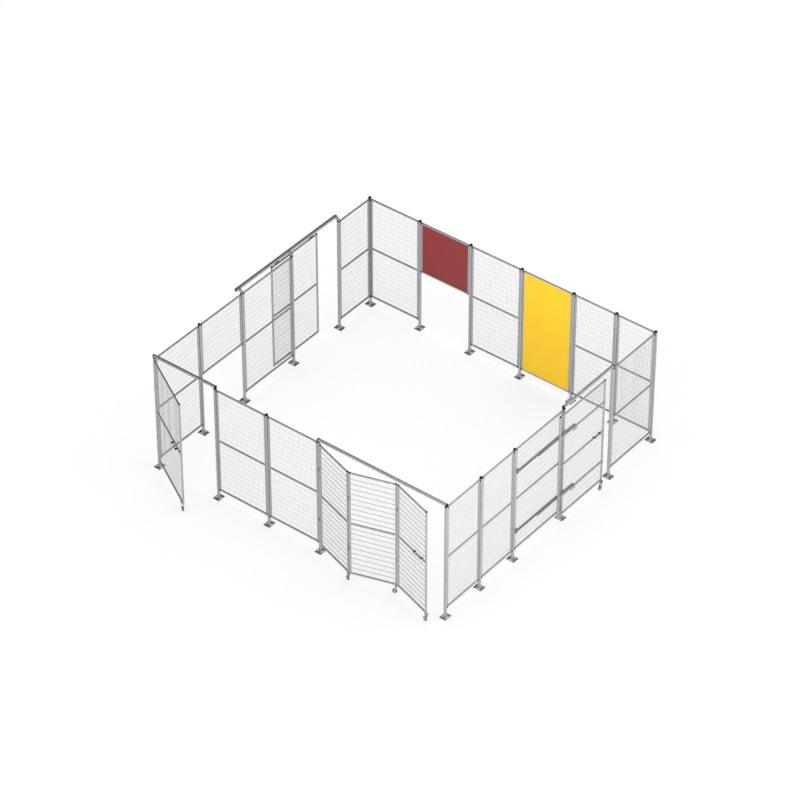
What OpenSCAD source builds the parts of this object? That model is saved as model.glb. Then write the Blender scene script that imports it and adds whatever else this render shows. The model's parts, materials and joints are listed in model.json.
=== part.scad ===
// Machine guard fence: a closed rectangle of posts and mesh panels with a swing door,
// a folding door, a hanging sliding door and a linear sliding door.
// X runs along the front, Y runs to the back, Z is up. The origin is on the floor under
// the middle of the front left corner post.

/* [Plan] */
// Plan of the fence from left to right, between corner post centres
fence_w = 5730; // [5500:10:6200]
// Plan of the fence from front to back, between corner post centres
fence_d = 5355; // [5100:10:5800]
// Shares of the front in its bays, from the left: swing door, two panels, folding door
front_shares = [123, 103, 103, 244];
// Shares of the back in its bays, from the left: the second is the red one, the fourth yellow
back_shares = [104.5, 104, 103, 103, 83.5, 75];
// Shares of the left side, from the front: panel, half panel, panel, hanging door, panel
left_shares = [107, 103, 124.5, 119, 82];
// Shares of the right side, from the front: three panels, linear door, panel
right_shares = [85, 84, 124.5, 127, 115];

/* [Posts] */
// Side of the square post tube
post_s = 40; // [36:1:46]
// Wall of the post tube and of the header tube
post_wall = 2; // [1.5:0.5:4]
// How far the posts stand above the panels
post_over = 20; // [5:1:60]
// Thickness of the plastic cap on a post, and of the pad under a header beam
cap_t = 10; // [6:1:16]
// Foot plate size across the fence line
plate_across = 150; // [140:5:180]
// Foot plate size along the fence line
plate_along = 120; // [90:5:140]
// Foot plate thickness
plate_t = 8; // [6:1:12]
// Width of the anchor slots
slot_w = 18; // [12:1:22]
// Overall length of the anchor slots, across the fence line
slot_len = 84; // [40:2:120]
// Gap between a slot and the post
slot_gap = 9; // [6:1:10]

/* [Panels] */
// Gap under panels and doors
floor_gap = 165; // [140:5:220]
// Height of a full panel
panel_h = 2020; // [1800:10:2300]
// Side of the square tube of panel and door frames
tube = 25; // [20:1:30]
// Gap between a post and a panel
panel_gap = 8; // [6:1:12]
// Thickness of the mesh bars
wire = 4; // [3:0.5:5]
// Spacing of the upright main bars, about
wire_dx = 150; // [100:10:200]
// Spacing of the level main bars, about
wire_dz = 100; // [90:10:200]
// Thickness of the solid infill sheets
sheet_t = 2; // [1:0.5:4]
// Height of a corner clamp
clamp_h = 30; // [24:2:60]
// Distance of the clamps from the panel's top and bottom
clamp_inset = 5; // [2:1:30]

/* [Headers and rail] */
// Height of the header beams over the doorways
header_h = 40; // [36:2:60]
// Height of the overhead rail
rail_h = 40; // [38:1:50]
// Width of the overhead rail
rail_w = 44; // [42:2:54]
// Wall of the overhead rail
rail_wall = 4; // [3:0.5:5]
// Slot in the underside of the overhead rail
rail_slot = 18; // [16:1:22]
// Underside of the overhead rail above the post tops
rail_rise = 30; // [26:1:60]
// Length of rail past the first post and past the last one
rail_over = 60; // [40:5:80]

/* [Doors] */
// Distance of the hanging leaf from the fence line
sliding_out = 70; // [68:1:90]
// Distance of the linear leaf from the fence line
linear_out = 74; // [74:1:90]
// Gap between the closed swing leaf and its second post
swing_gap = 8; // [6:1:15]
// Angle at which the swing leaf stands open
swing_angle = 30; // [0:1:100]
// Gap between a closed sliding leaf and its second post
leaf_gap = 10; // [6:1:15]
// How far the hanging leaf stands open
sliding_open = 430; // [0:5:760]
// Start of the closed linear leaf behind its first post's centre
linear_start = 60; // [0:5:80]
// How far the linear leaf stands open
linear_open = 260; // [0:5:900]
// Height of the lower guide rail above the floor
guide_low = 550; // [400:10:700]
// Height of the upper guide rail above the floor
guide_high = 1750; // [1600:10:1900]
// Height of a guide rail
guide_h = 40; // [34:2:50]
// Depth of a guide rail from its post to its lips
guide_t = 17; // [16:0.5:20]
// Wall of the guide rails and runners
guide_wall = 3; // [2.5:0.5:4]
// Length of the sliding bars inside the guide rails
bar_len = 950; // [800:10:1000]
// Gap between the unfolded door and each of its posts
fold_gap = 15; // [12:1:25]
// Angle at which each folding leaf stands off the fence line
fold_angle = 17.5; // [4:0.5:20]

/* [Fittings] */
// Radius of the castor wheels
wheel_r = 40; // [30:1:50]
// Width of the castor wheels
wheel_w = 20; // [16:1:24]
// Distance of a castor wheel behind its stem
trail = 30; // [20:1:35]
// Distance of the linear door's castor outside the leaf
castor_out = 18; // [18:1:24]
// Gap between a wheel on a moving door and the floor
wheel_gap = 1; // [0:0.5:3]
// Radius of the wheel axles
axle_r = 6; // [5:0.5:8]
// Radius of the hinge pins
pin_r = 5; // [4:0.5:6]
// Running clearance around axles and hinge pins
run_gap = 0.1; // [0.05:0.05:0.2]
// Gap between sliding and rolling faces
slide_gap = 0.3; // [0.2:0.1:0.6]
// Radius of the grip bars of the handles
grip_r = 9; // [7:0.5:12]
// Radius of the swing door's round knobs
knob_r = 18; // [14:1:24]
// Distance of the grip bars from the leaf
grip_out = 45; // [35:1:60]
// Height of the grip bars above the middle rail that carries them
grip_up = 60; // [50:2:80]

/* [Hidden] */
$fn = 32;
eps = 0.01;

function total(list, n) = n == 0 ? 0 : list[n - 1] + total(list, n - 1);
function ends(shares, length) =
    [for (i = [0 : len(shares)]) length * total(shares, i) / total(shares, len(shares))];
function bay(at, i) = at[i + 1] - at[i];
front_at = ends(front_shares, fence_w);
back_at = ends(back_shares, fence_w);
left_at = ends(left_shares, fence_d);
right_at = ends(right_shares, fence_d);

panel_top = floor_gap + panel_h;
post_top = panel_top + post_over;
mid_z = floor_gap + panel_h / 2;
half_z = mid_z;
header_z = post_top + cap_t;
rail_z = post_top + rail_rise;
hinge_x = post_s / 2 + 10;
hinge_y = -(post_s / 2 + 18);
knuckle_r = pin_r + 5;
hinge_h = 60;
hinge_end = 480;
hinge_zs = [floor_gap + hinge_end, panel_top - hinge_end - hinge_h];
swing_w = bay(front_at, 0) - post_s / 2 - swing_gap - hinge_x;
sliding_w = bay(left_at, 3) - post_s / 2 - leaf_gap;
linear_w = bay(right_at, 3) - post_s / 2 - leaf_gap - linear_start;
fold_pitch = (bay(front_at, 3) - post_s - 2 * fold_gap) / 3;
fold_start = [front_at[3] + post_s / 2 + fold_gap, -(post_s / 2 + 12)];

steel = [0.72, 0.72, 0.73];
dark_steel = [0.3, 0.3, 0.31];
black = [0.1, 0.1, 0.1];
red = [0.59, 0.27, 0.28];
yellow = [0.98, 0.8, 0.24];

// Places along the four sides: local x runs along the side and local -y points outwards.
module on_front(s) translate([s, 0, 0]) children();
module on_right(s) translate([fence_w, s, 0]) rotate([0, 0, 90]) children();
module on_back(s) translate([s, fence_d, 0]) mirror([0, 1, 0]) children();
module on_left(s) translate([0, s, 0]) rotate([0, 0, 90]) mirror([0, 1, 0]) children();

// A box centred in x and y that stands on z = 0.
module upright(size) translate([-size[0] / 2, -size[1] / 2, 0]) cube(size);

// Post tubes stand on their foot plates.
module post() translate([0, 0, plate_t]) difference() {
    bore = post_s - 2 * post_wall;
    upright([post_s, post_s, post_top - plate_t]);
    translate([0, 0, -1]) upright([bore, bore, post_top + 2]);
}

// A round-ended slot across the fence line.
module anchor_slot() {
    straight = slot_len - slot_w;
    translate([-slot_w / 2, -straight / 2, -1]) cube([slot_w, straight, plate_t + 2]);
    for (side = [-1, 1])
        translate([0, side * straight / 2, -1]) cylinder(r = slot_w / 2, h = plate_t + 2);
}

module foot_plate() difference() {
    slot_at = post_s / 2 + slot_gap + slot_w / 2;
    upright([plate_along, plate_across, plate_t]);
    for (side = [-1, 1])
        translate([side * slot_at, 0, 0]) anchor_slot();
}

// A welded tube frame from z0 to z1, with level rails between at the given centre heights.
module tube_frame(w, z0, z1, rails) difference() {
    translate([0, -tube / 2, z0]) cube([w, tube, z1 - z0]);
    edges = concat([z0 + tube / 2], rails, [z1 - tube / 2]);
    for (i = [0 : len(edges) - 2])
        translate([tube, -tube, edges[i] + tube / 2])
            cube([w - 2 * tube, 2 * tube, edges[i + 1] - edges[i] - tube]);
}

// Crossing main bars of the welded mesh, fused into one lattice.
module lattice(w, z0, z1) {
    inner_w = w - 2 * tube;
    inner_h = z1 - z0 - 2 * tube;
    nx = round(inner_w / wire_dx);
    nz = round(inner_h / wire_dz);
    sunk = tube / 2;
    rotate([90, 0, 0]) linear_extrude(height = wire, center = true) union() {
        for (i = [1 : nx - 1])
            translate([tube + inner_w * i / nx - wire / 2, z0 + tube - sunk])
                square([wire, inner_h + 2 * sunk]);
        for (j = [1 : nz - 1])
            translate([tube - sunk, z0 + tube + inner_h * j / nz - wire / 2])
                square([inner_w + 2 * sunk, wire]);
    }
}

module mesh_frame(w, z0, z1, rails) union() {
    tube_frame(w, z0, z1, rails);
    lattice(w, z0, z1);
}

function panel_w(pitch) = pitch - post_s - 2 * panel_gap;

// A full mesh panel of one bay, starting at its first post.
module bay_panel(pitch) translate([post_s / 2 + panel_gap, 0, 0])
    mesh_frame(panel_w(pitch), floor_gap, panel_top, [mid_z]);

module half_panel(pitch) translate([post_s / 2 + panel_gap, 0, 0])
    mesh_frame(panel_w(pitch), half_z, panel_top, []);

module sheet_frame(pitch, z0) translate([post_s / 2 + panel_gap, 0, 0])
    tube_frame(panel_w(pitch), z0, panel_top, []);

module sheet(pitch, z0) translate([post_s / 2 + panel_gap + tube, -sheet_t / 2, z0 + tube])
    cube([panel_w(pitch) - 2 * tube, sheet_t, panel_top - z0 - 2 * tube]);

// A clamp holds a panel corner to a post and fills the gap between them.
module clamp() {
    deep = post_s - 4;
    difference() {
        translate([post_s / 2, -deep / 2, 0]) cube([panel_gap + tube * 0.7, deep, clamp_h]);
        translate([post_s / 2 + panel_gap, -tube / 2, -1]) cube([tube, tube, clamp_h + 2]);
    }
}

module bay_clamps(pitch, z0) for (z = [z0 + clamp_inset, panel_top - clamp_inset - clamp_h])
    translate([0, 0, z]) {
        clamp();
        translate([pitch, 0, 0]) mirror([1, 0, 0]) clamp();
    }

module header_beam(pitch) translate([-post_s / 2, -post_s / 2, header_z]) difference() {
    length = pitch + post_s;
    cube([length, post_s, header_h]);
    translate([-1, post_wall, post_wall])
        cube([length + 2, post_s - 2 * post_wall, header_h - 2 * post_wall]);
}

module header_caps(pitch) for (x = [-post_s / 2 - 6, pitch + post_s / 2])
    translate([x, -post_s / 2, header_z]) cube([6, post_s, header_h]);

// A grip bar between two stubs on upright straps, which stand on the middle rail's face.
module pull_handle(span) {
    stub_r = grip_r * 1.5;
    strap_t = 4;
    for (x = [-span / 2, span / 2]) translate([x, 0, 0]) {
        translate([-stub_r, -strap_t, -tube / 2])
            cube([2 * stub_r, strap_t, tube / 2 + grip_up + stub_r]);
        translate([0, 0, grip_up]) rotate([90, 0, 0]) cylinder(r = stub_r, h = grip_out);
    }
    translate([-span / 2 - grip_r * 2, -grip_out, grip_up]) rotate([0, 90, 0])
        cylinder(r = grip_r, h = span + grip_r * 4);
}

// A castor rolls along local x. Its stem stands at the origin and the wheel trails behind.
castor_plate_t = 5;
race_h = 11;
crown_h = 8;
crown_top = floor_gap - castor_plate_t - race_h - slide_gap;
axle_z = wheel_r + wheel_gap;
fork_in = wheel_w / 2 + 3;
leg_t = 4;

// Top plate, race and kingpin, fixed under the leaf.
module castor_plate() {
    translate([0, 0, floor_gap - castor_plate_t]) upright([60, 40, castor_plate_t]);
    translate([0, 0, floor_gap - castor_plate_t - race_h]) cylinder(r = 16, h = race_h + eps);
    translate([0, 0, crown_top - crown_h]) cylinder(r = axle_r, h = crown_h + race_h);
}

// Crown, two legs that sweep back to the axle, and the axle.
module castor_fork(bore_r) {
    translate([0, 0, crown_top - crown_h]) difference() {
        upright([40, 2 * (fork_in + leg_t), crown_h]);
        translate([0, 0, -1]) cylinder(r = bore_r, h = crown_h + 2);
    }
    leg = [[-20, crown_top - crown_h], [20, crown_top - crown_h],
        [-trail + 11, axle_z], [-trail - 11, axle_z]];
    for (side = [0, 1]) mirror([0, side, 0]) translate([0, fork_in + leg_t, 0])
        rotate([90, 0, 0]) linear_extrude(height = leg_t) {
            polygon(leg);
            translate([-trail, axle_z]) circle(r = 11);
        }
    translate([-trail, fork_in + eps, axle_z]) rotate([90, 0, 0])
        cylinder(r = axle_r, h = 2 * (fork_in + eps));
}

module fixed_castor() {
    castor_plate();
    castor_fork(axle_r - eps);
}

// A wheel with a bevelled tread, bored for the axle.
module castor_wheel() translate([-trail, 0, axle_z]) rotate([90, 0, 0]) rotate_extrude($fn = 64)
    polygon([[axle_r + run_gap, -wheel_w / 2], [wheel_r - 3, -wheel_w / 2],
        [wheel_r, -wheel_w / 2 + 4], [wheel_r, wheel_w / 2 - 4],
        [wheel_r - 3, wheel_w / 2], [axle_r + run_gap, wheel_w / 2]]);

// A C channel along x: its back is on y = 0 and its slot faces -y.
module c_channel(length, deep, high, wall, slot) difference() {
    translate([0, -deep, -high / 2]) cube([length, deep, high]);
    translate([-1, -deep + wall, -high / 2 + wall]) cube([length + 2, deep - 2 * wall, high - 2 * wall]);
    translate([-1, -deep - 1, -slot / 2]) cube([length + 2, wall + 2, slot]);
}

// Nodes: posts and plates
module posts_front() color(steel) for (s = front_at) on_front(s) post();
module posts_right() color(steel) for (i = [1 : 5]) on_right(right_at[i]) post();
module posts_back() color(steel) for (i = [1 : 5]) on_back(back_at[i]) post();
module posts_left() color(steel) for (i = [1 : 5]) on_left(left_at[i]) post();
module foot_plates_front() color(dark_steel) for (s = front_at) on_front(s) foot_plate();
module foot_plates_right() color(dark_steel) for (i = [1 : 5]) on_right(right_at[i]) foot_plate();
module foot_plates_back() color(dark_steel) for (i = [1 : 5]) on_back(back_at[i]) foot_plate();
module foot_plates_left() color(dark_steel) for (i = [1 : 5]) on_left(left_at[i]) foot_plate();

module post_caps() color(black) {
    cap = [post_s, post_s, cap_t];
    translate([0, 0, post_top]) {
        for (s = front_at) on_front(s) upright(cap);
        for (i = [1 : 5]) on_right(right_at[i]) upright(cap);
        for (i = [1 : 5]) on_back(back_at[i]) upright(cap);
        for (i = [1 : 5]) on_left(left_at[i]) upright(cap);
    }
}

module panel_clamps() color(black) {
    for (i = [1, 2]) on_front(front_at[i]) bay_clamps(bay(front_at, i), floor_gap);
    for (i = [0, 1, 2, 4])
        on_right(right_at[i]) bay_clamps(right_at[i + 1] - right_at[i], floor_gap);
    for (i = [0 : 5])
        on_back(back_at[i]) bay_clamps(back_at[i + 1] - back_at[i], i == 1 ? half_z : floor_gap);
    for (i = [0, 1, 2, 4])
        on_left(left_at[i]) bay_clamps(bay(left_at, i), i == 1 ? half_z : floor_gap);
}

module door_headers() color(steel) {
    on_front(front_at[0]) header_beam(bay(front_at, 0));
    on_front(front_at[3]) header_beam(bay(front_at, 3));
    on_right(right_at[3]) header_beam(bay(right_at, 3));
}

module header_end_caps() color(black) {
    on_front(front_at[0]) header_caps(bay(front_at, 0));
    on_front(front_at[3]) header_caps(bay(front_at, 3));
    on_right(right_at[3]) header_caps(bay(right_at, 3));
}

// Nodes: fixed panels
module front_panel(i) color(steel) on_front(front_at[i]) bay_panel(bay(front_at, i));
module right_panel(i) color(steel) on_right(right_at[i]) bay_panel(right_at[i + 1] - right_at[i]);
module back_panel(i) color(steel) on_back(back_at[i]) bay_panel(back_at[i + 1] - back_at[i]);
module left_panel(i) color(steel) on_left(left_at[i]) bay_panel(bay(left_at, i));
module left_half_panel() color(steel) on_left(left_at[1]) half_panel(bay(left_at, 1));
module red_sheet_frame() color(steel) on_back(back_at[1]) sheet_frame(bay(back_at, 1), half_z);
module red_sheet() color(red) on_back(back_at[1]) sheet(bay(back_at, 1), half_z);
module yellow_sheet_frame() color(steel) on_back(back_at[3]) sheet_frame(bay(back_at, 3), floor_gap);
module yellow_sheet() color(yellow) on_back(back_at[3]) sheet(bay(back_at, 3), floor_gap);

// Nodes: hanging sliding door on the left side
rail_from = left_at[2] - rail_over;
rail_to = left_at[4] + rail_over / 2;
sliding_at = left_at[4] - post_s / 2 - leaf_gap - sliding_w - sliding_open;
trolley_inset = 150;

module overhead_rail() color(steel) on_left(rail_from) translate([0, -sliding_out, rail_z]) {
    length = rail_to - rail_from;
    difference() {
        translate([0, -rail_w / 2, 0]) cube([length, rail_w, rail_h]);
        translate([-1, -rail_w / 2 + rail_wall, rail_wall])
            cube([length + 2, rail_w - 2 * rail_wall, rail_h - 2 * rail_wall]);
        translate([-1, -rail_slot / 2, -1]) cube([length + 2, rail_slot, rail_wall + 2]);
    }
}

// A gusset from the head of a post out to the back of the rail.
module rail_brackets() color(steel) for (i = [2 : 4]) on_left(left_at[i]) {
    back = -sliding_out + rail_w / 2;
    half = post_s / 2;
    rail_head = rail_z + rail_h;
    rotate([90, 0, 90]) linear_extrude(height = post_s, center = true)
        polygon([[half, header_z], [-half, header_z], [back, rail_z], [back, rail_head],
            [back + 16, rail_head], [half, header_z + 14]]);
}

module sliding_leaf() color(steel) on_left(sliding_at) translate([0, -sliding_out, 0])
    mesh_frame(sliding_w, floor_gap, panel_top, [mid_z]);

// Two four-wheeled trolleys: the wheels run on the lips inside the rail.
module sliding_trolleys() color(dark_steel) for (x = [trolley_inset, sliding_w - trolley_inset])
    on_left(sliding_at + x) translate([0, -sliding_out, 0]) {
        roller_r = 12;
        hanger_t = rail_slot - 10;
        axle = rail_z + rail_wall + slide_gap + roller_r;
        translate([0, 0, panel_top]) upright([90, tube, 6]);
        translate([0, 0, panel_top + 6 - eps]) upright([90, hanger_t, axle + 9 - panel_top - 6]);
        for (along = [-30, 30]) translate([along, 0, axle]) rotate([90, 0, 0]) {
            cylinder(r = 4, h = hanger_t + 18, center = true);
            for (side = [-1, 1]) translate([0, 0, side * (hanger_t / 2 + 6.5)])
                cylinder(r = roller_r, h = 5, center = true);
        }
    }

// Nodes: swing door, hinged on the front left corner post
module swing_place() translate([hinge_x, hinge_y, 0]) rotate([0, 0, -swing_angle]) children();
leaf_start = knuckle_r + 4;

module swing_leaf() color(steel) swing_place() translate([leaf_start, 0, 0])
    mesh_frame(swing_w - leaf_start, floor_gap, panel_top, [mid_z]);

module swing_hinge_pins() color(dark_steel) for (z = hinge_zs) {
    arm = 14;
    translate([0, hinge_y, z - arm]) cube([hinge_x, -hinge_y - post_s / 2, arm]);
    translate([hinge_x, hinge_y, z - arm]) cylinder(r = knuckle_r, h = arm);
    translate([hinge_x, hinge_y, z - eps]) cylinder(r = pin_r, h = hinge_h + 2);
}

module swing_hinge_sleeves() color(dark_steel) swing_place() for (z = hinge_zs)
    translate([0, 0, z + slide_gap]) difference() {
        union() {
            cylinder(r = knuckle_r, h = hinge_h - 5);
            translate([0, -4, 0]) cube([leaf_start, 8, hinge_h - 5]);
        }
        translate([0, 0, -1]) cylinder(r = pin_r + run_gap, h = hinge_h);
    }

swing_grip = 170;
handle_inset = 112;
swing_handle_at = swing_w - handle_inset - swing_grip / 2;
module swing_handle() color(black) swing_place()
    translate([swing_handle_at, -tube / 2, mid_z]) {
        pull_handle(swing_grip);
        for (x = [-swing_grip / 2, swing_grip / 2])
            translate([x, -grip_out, grip_up]) sphere(r = knob_r);
    }

// The kingpin stands in from the free end, so that the wheel swivels clear of the foot plate.
castor_reach = trail + 0.6 * wheel_r;
plate_under_leaf = plate_along / 2 - post_s / 2 - swing_gap;
swing_castor_at = swing_w - plate_under_leaf - castor_reach - 6;
module swing_castor_place() swing_place()
    translate([swing_castor_at, 0, 0]) rotate([0, 0, 180]) children();
module swing_castor_plate() color(steel) swing_castor_place() castor_plate();
module swing_castor_fork() color(steel) swing_castor_place() castor_fork(axle_r + run_gap);
module swing_wheel() color(black) swing_castor_place() castor_wheel();

// Nodes: linear sliding door on the right side, on telescopic guides
linear_at = right_at[4] - post_s / 2 - leaf_gap - linear_w - linear_open;
guide_from = right_at[2] + post_s / 2 + panel_gap + 8;
guide_to = right_at[3] + post_s / 2;
guide_slot = 14;
guide_zs = [guide_low, guide_high];
end_block = 36;
carriage_w = 110;
carriage_inset = 3 * carriage_w;
buffer_w = 50;
runner_t = linear_out - tube / 2 - post_s / 2 - guide_t - 6.5;
bar_at = guide_from + end_block + 18 + (linear_at - (guide_from + end_block + 60)) / 2;

// Fixed channels on the last panel before the doorway, open outwards.
module guide_rails() color(steel) for (z = guide_zs) on_right(guide_from) {
    translate([0, -post_s / 2, z])
        c_channel(guide_to - guide_from, guide_t, guide_h, guide_wall, guide_slot);
    translate([0, -post_s / 2 - guide_t, z - guide_h])
        cube([end_block, guide_t + (post_s - tube) / 2, guide_h * 2]);
}

// I section bars that run in the fixed channels and carry the leaf's own channels.
module telescope_bars() color(black) for (z = guide_zs) on_right(bar_at) {
    flange_t = 7;
    high = guide_h - 2 * guide_wall - 2 * slide_gap;
    inner_y = -post_s / 2 - guide_wall - 2 - flange_t;
    outer_y = -linear_out + tube / 2 + guide_wall + 2;
    for (y = [inner_y, outer_y]) translate([0, y, z - high / 2]) cube([bar_len, flange_t, high]);
    translate([0, outer_y + flange_t - eps, z - guide_slot / 2 + 3])
        cube([bar_len, inner_y - outer_y - flange_t + 2 * eps, guide_slot - 6]);
}

module linear_leaf() color(steel) on_right(linear_at) translate([0, -linear_out, 0])
    mesh_frame(linear_w, floor_gap, panel_top, [guide_low, mid_z, guide_high]);

// The leaf's channels, open inwards and at both ends, which end in line with the plates
// that clamp them on, and the buffers at the leaf's free end.
module linear_carriages() color(steel) for (z = guide_zs) on_right(linear_at) {
    translate([0, -linear_out + tube / 2, z]) mirror([0, 1, 0])
        c_channel(carriage_inset + carriage_w, runner_t, guide_h, guide_wall, guide_slot);
    translate([carriage_inset, -linear_out - tube / 2 - 5, z - 45]) cube([carriage_w, 5, 60]);
    translate([linear_w - buffer_w, -linear_out - tube / 2 - 5, z - guide_h / 2])
        cube([buffer_w, 5, guide_h]);
}

linear_grip = 140;
module linear_handle() color(black) on_right(linear_at + linear_w - linear_grip / 2 - 160)
    translate([0, -linear_out - tube / 2, mid_z]) pull_handle(linear_grip);

module linear_castor_place() on_right(linear_at + linear_w - trail)
    translate([0, -linear_out - castor_out, 0]) children();
module linear_castor_fork() color(steel) linear_castor_place() fixed_castor();
module linear_wheel() color(black) linear_castor_place() castor_wheel();

// Nodes: folding door, three leaves in a zig-zag
function fold_point(i) = fold_start
    + fold_pitch * [i * cos(fold_angle), (i % 2 == 1 ? -1 : 0) * sin(fold_angle)];
function fold_turn(i) = (i % 2 == 0 ? -1 : 1) * fold_angle;
fold_inset = 10;

module fold_place(i) translate(concat(fold_point(i), [0])) rotate([0, 0, fold_turn(i)]) children();

module folding_leaf(i) color(steel) fold_place(i) translate([fold_inset, 0, 0])
    mesh_frame(fold_pitch - 2 * fold_inset, floor_gap, panel_top, [mid_z]);

module folding_hinges() color(dark_steel) for (z = hinge_zs) translate([0, 0, z]) {
    for (i = [0 : 2]) {
        fold_place(i) cylinder(r = fold_inset - 2, h = hinge_h);
        fold_place(i) translate([0, -3, 0]) cube([fold_inset, 6, hinge_h]);
    }
    for (i = [1, 2]) fold_place(i - 1)
        translate([fold_pitch - fold_inset, -3, 0]) cube([fold_inset, 6, hinge_h]);
    translate([fold_start[0] - fold_gap - fold_inset, -post_s / 2 - 16, 0]) cube([fold_gap + fold_inset, 16, hinge_h]);
}

fold_grip = 190;
module folding_handle() color(black) fold_place(2)
    translate([fold_pitch - fold_grip, -tube / 2, mid_z]) pull_handle(fold_grip);

fold_castor_at = fold_pitch - trail / 2;
module folding_castor_forks() color(steel) for (i = [0 : 2]) fold_place(i)
    translate([fold_castor_at, 0, 0]) fixed_castor();
module folding_wheels() color(black) for (i = [0 : 2]) fold_place(i)
    translate([fold_castor_at, 0, 0]) castor_wheel();

posts_front();
posts_right();
posts_back();
posts_left();
foot_plates_front();
foot_plates_right();
foot_plates_back();
foot_plates_left();
post_caps();
panel_clamps();
door_headers();
header_end_caps();
front_panel(1);  // front_panel_1
front_panel(2);  // front_panel_2
right_panel(0);  // right_panel_1
right_panel(1);  // right_panel_2
right_panel(2);  // right_panel_3
right_panel(4);  // right_panel_4
back_panel(0);  // back_panel_1
red_sheet_frame();
back_panel(2);  // back_panel_2
yellow_sheet_frame();
back_panel(4);  // back_panel_3
back_panel(5);  // back_panel_4
red_sheet();
yellow_sheet();
left_panel(0);  // left_panel_1
left_half_panel();
left_panel(2);  // left_panel_2
left_panel(4);  // left_panel_3
overhead_rail();
rail_brackets();
sliding_leaf();
sliding_trolleys();
swing_leaf();
swing_hinge_pins();
swing_hinge_sleeves();
swing_handle();
swing_castor_plate();
swing_castor_fork();
swing_wheel();
guide_rails();
telescope_bars();
linear_leaf();
linear_carriages();
linear_handle();
linear_castor_fork();
linear_wheel();
folding_leaf(0);  // folding_leaf_1
folding_leaf(1);  // folding_leaf_2
folding_leaf(2);  // folding_leaf_3
folding_hinges();
folding_handle();
folding_castor_forks();
folding_wheels();
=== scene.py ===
"""Machine guard fence enclosure: finishes, welded mesh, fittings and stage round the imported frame.

Lengths are in metres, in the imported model's own frame: X along the front, Y to the back, Z up.
Every shape is an array of points worked out with numpy; its formula stands in words above it.
"""
import json
import math

import bpy
import numpy as np
from bpy.props import FloatProperty, FloatVectorProperty, PointerProperty
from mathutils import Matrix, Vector


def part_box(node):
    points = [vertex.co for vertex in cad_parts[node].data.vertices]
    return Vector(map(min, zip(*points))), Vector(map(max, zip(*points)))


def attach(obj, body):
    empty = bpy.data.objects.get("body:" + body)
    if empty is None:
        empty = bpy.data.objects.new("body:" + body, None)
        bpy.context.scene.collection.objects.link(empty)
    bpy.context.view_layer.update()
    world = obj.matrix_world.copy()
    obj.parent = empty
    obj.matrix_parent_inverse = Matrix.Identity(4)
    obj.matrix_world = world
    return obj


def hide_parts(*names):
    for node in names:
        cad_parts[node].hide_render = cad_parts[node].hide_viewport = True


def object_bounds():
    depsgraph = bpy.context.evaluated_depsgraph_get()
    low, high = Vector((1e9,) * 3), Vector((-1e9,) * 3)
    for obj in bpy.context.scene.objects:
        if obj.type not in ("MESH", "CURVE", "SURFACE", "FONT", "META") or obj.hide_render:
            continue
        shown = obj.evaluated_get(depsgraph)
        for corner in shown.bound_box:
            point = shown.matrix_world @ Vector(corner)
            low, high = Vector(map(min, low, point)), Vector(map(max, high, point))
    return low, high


bl_info = {
    "name": "Machine guard fence enclosure",
    "version": (1, 0, 0),
    "blender": (4, 5, 0),
    "location": "View3D > Sidebar > Guard fence",
    "description": "Finishes, welded mesh and fittings for a machine guard fence enclosure",
    "category": "Object",
}

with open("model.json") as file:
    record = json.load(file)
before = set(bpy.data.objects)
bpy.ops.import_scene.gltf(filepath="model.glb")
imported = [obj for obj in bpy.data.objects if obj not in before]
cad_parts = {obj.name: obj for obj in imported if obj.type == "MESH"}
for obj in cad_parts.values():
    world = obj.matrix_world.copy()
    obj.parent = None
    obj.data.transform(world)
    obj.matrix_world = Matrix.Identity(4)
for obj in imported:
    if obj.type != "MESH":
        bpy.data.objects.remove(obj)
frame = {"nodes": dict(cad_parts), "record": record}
CAD_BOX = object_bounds()

UP = np.array([0.0, 0.0, 1.0])
TUBE = float(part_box("front_panel_1")[1][1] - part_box("front_panel_1")[0][1])
FULL_PANELS = ["front_panel_1", "front_panel_2", "right_panel_1", "right_panel_2",
               "right_panel_3", "right_panel_4", "back_panel_1", "back_panel_2",
               "back_panel_3", "back_panel_4", "left_panel_1", "left_panel_2", "left_panel_3"]
FOLDING_LEAVES = ["folding_leaf_1", "folding_leaf_2", "folding_leaf_3"]
LEAVES = ["swing_leaf", "sliding_leaf", "linear_leaf", *FOLDING_LEAVES]
POSTS = ["posts_front", "posts_right", "posts_back", "posts_left"]
RIGHTWARDS = np.array([1.0, 0.0, 0.0])
# Leaves that stand at a slant in the plan: -1 runs to the right and outwards, 1 back again.
SLANTS = {"swing_leaf": -1, "folding_leaf_1": -1, "folding_leaf_2": 1, "folding_leaf_3": -1}
BODY_OF = {node: body for body, nodes in frame["record"]["behaviour"]["bodies"].items()
           for node in nodes}


# ---------------------------------------------------------------- sizes and colours

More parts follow.
